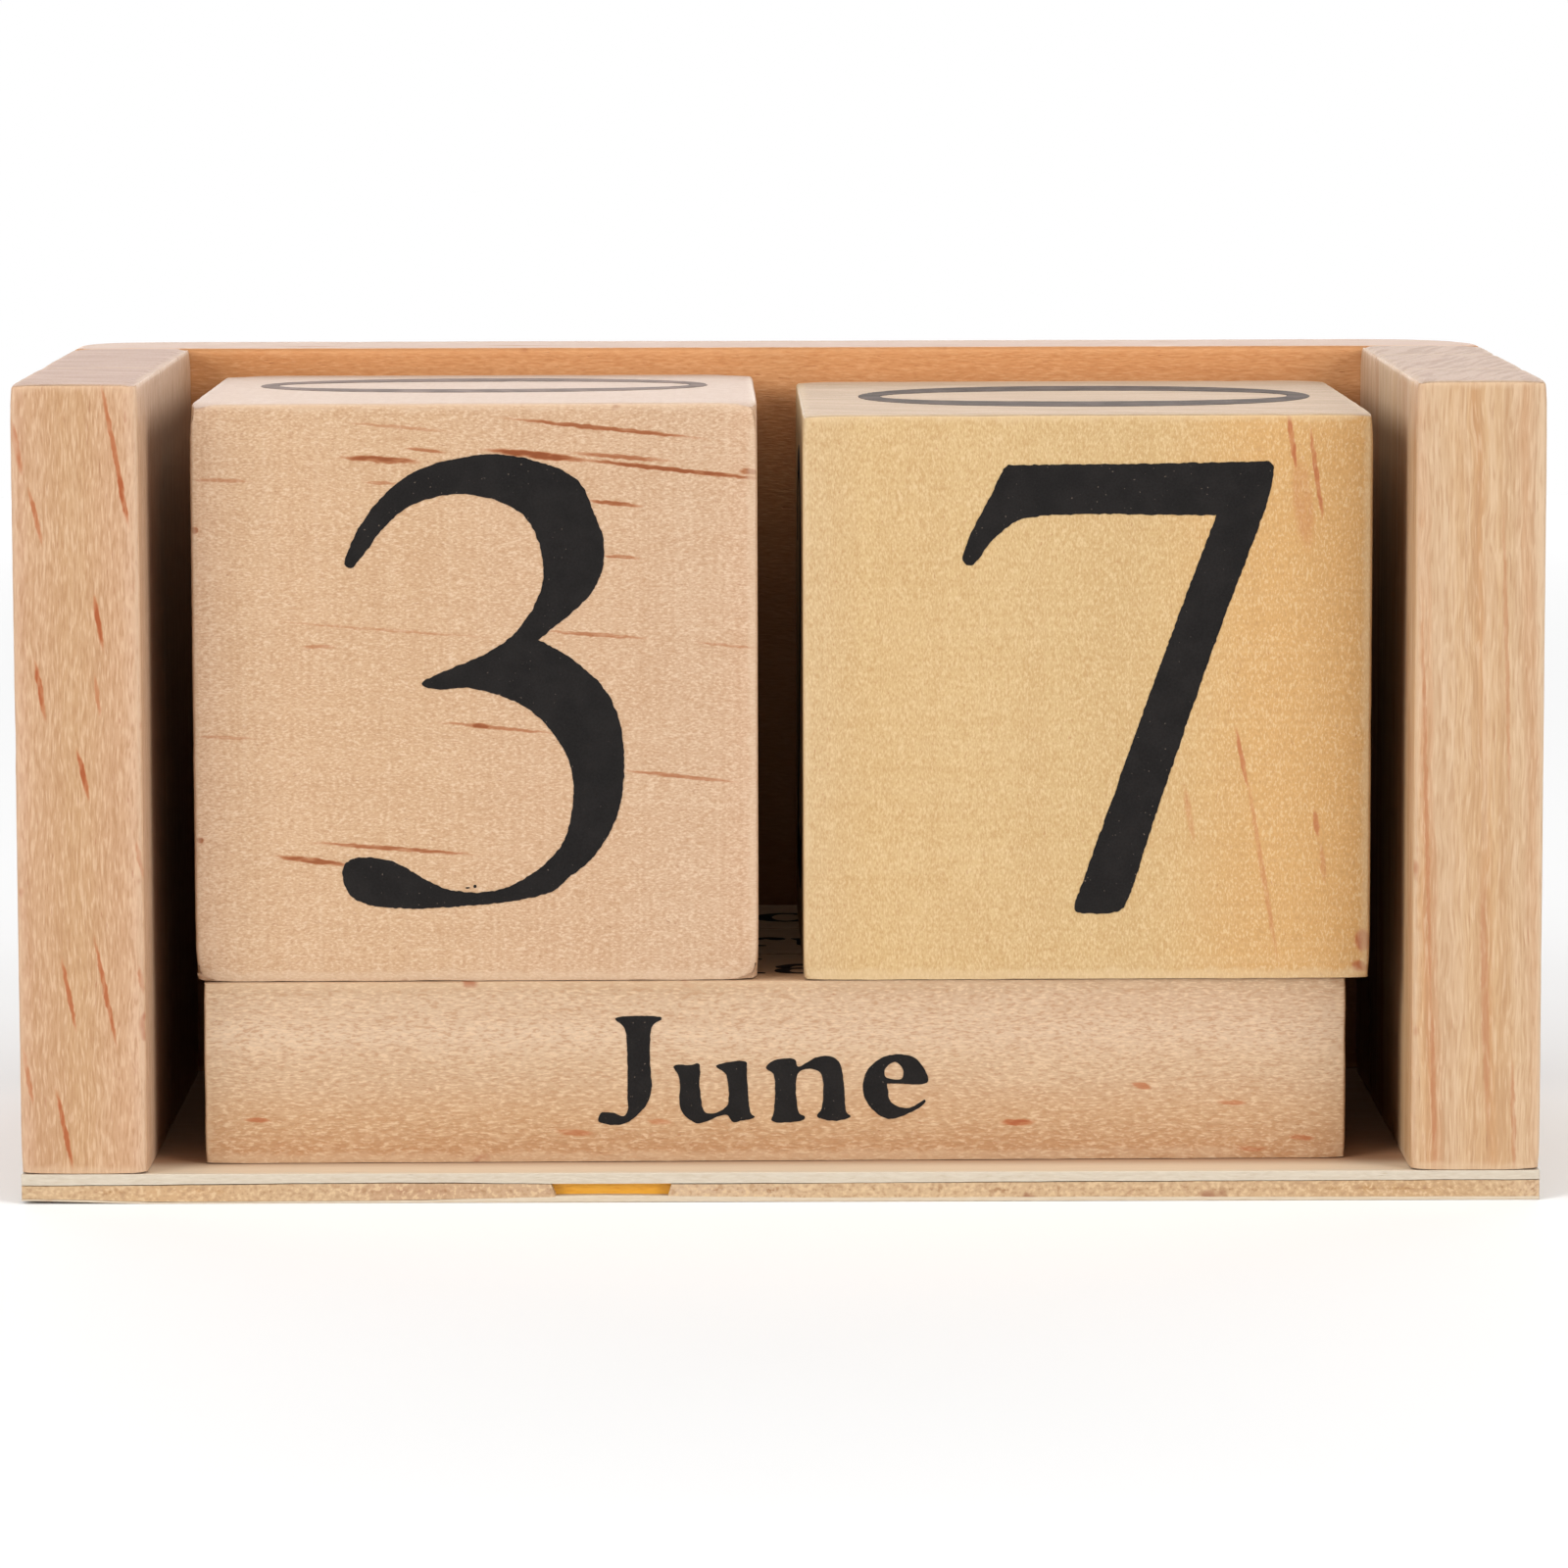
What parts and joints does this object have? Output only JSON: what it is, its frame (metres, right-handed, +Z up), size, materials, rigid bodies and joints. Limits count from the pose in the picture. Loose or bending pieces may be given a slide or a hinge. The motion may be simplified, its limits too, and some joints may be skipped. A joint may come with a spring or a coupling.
{
  "type": "flip desk calendar",
  "caption": "Wooden perpetual desk calendar: an open tray holding number cubes above month bars, which lift or slide out so the date can be changed.",
  "frame": {"origin": "middle of the calendar's footprint, on the surface it stands on", "axes": "+X to the calendar's right as seen from the front, along its width; +Y towards the closed back, so the open front faces -Y; +Z up"},
  "size_m": [0.15, 0.0776, 0.081],
  "materials": {
    "pale_ply": "bare thin veneer, matt",
    "ochre_ply": "bare ply edge, rough matt",
    "white_ply": "bare whitish face veneer, matt",
    "back_wood": "bare pine, fine sanded, satin matt",
    "left_cheek_wood": "fine sanded light wood with upright grain, satin matt",
    "right_cheek_wood": "fine sanded light wood with upright grain, satin matt",
    "bar_wood": "fine sanded light wood with lengthwise grain and black printed months, satin matt",
    "left_cube_wood": "fine sanded pinkish light wood with black printed digits, satin matt",
    "right_cube_wood": "fine sanded yellowish light wood with black printed digits, satin matt"
  },
  "bodies": {
    "tray": {"base_bottom_ply": "pale_ply", "base_core_ply_left": "ochre_ply", "base_core_ply_right": "ochre_ply", "base_top_ply": "white_ply", "left_front_stave": "left_cheek_wood", "left_rear_stave": "left_cheek_wood", "right_front_stave": "right_cheek_wood", "right_middle_stave": "right_cheek_wood", "right_rear_stave": "right_cheek_wood", "back_panel": "back_wood"},
    "left_cube": {"left_number_cube": "left_cube_wood"},
    "right_cube": {"right_number_cube": "right_cube_wood"},
    "rear_bar": {"rear_month_bar": "bar_wood"},
    "middle_bar": {"middle_month_bar": "bar_wood"},
    "front_bar": {"front_month_bar": "bar_wood"}
  },
  "joints": [
    {"name": "left_cube_lift", "type": "slide", "parent": "tray", "child": "left_cube", "axis": [0, 0, 1], "range_m": [0, 0.065]},
    {"name": "right_cube_lift", "type": "slide", "parent": "tray", "child": "right_cube", "axis": [0, 0, 1], "range_m": [0, 0.065]},
    {"name": "rear_bar_slide", "type": "slide", "parent": "tray", "child": "rear_bar", "axis": [0, -1, 0], "range_m": [0, 0.066]},
    {"name": "middle_bar_slide", "type": "slide", "parent": "rear_bar", "child": "middle_bar", "axis": [0, -1, 0], "range_m": [0, 0.048]},
    {"name": "front_bar_slide", "type": "slide", "parent": "middle_bar", "child": "front_bar", "axis": [0, -1, 0], "range_m": [0, 0.03]}
  ]
}
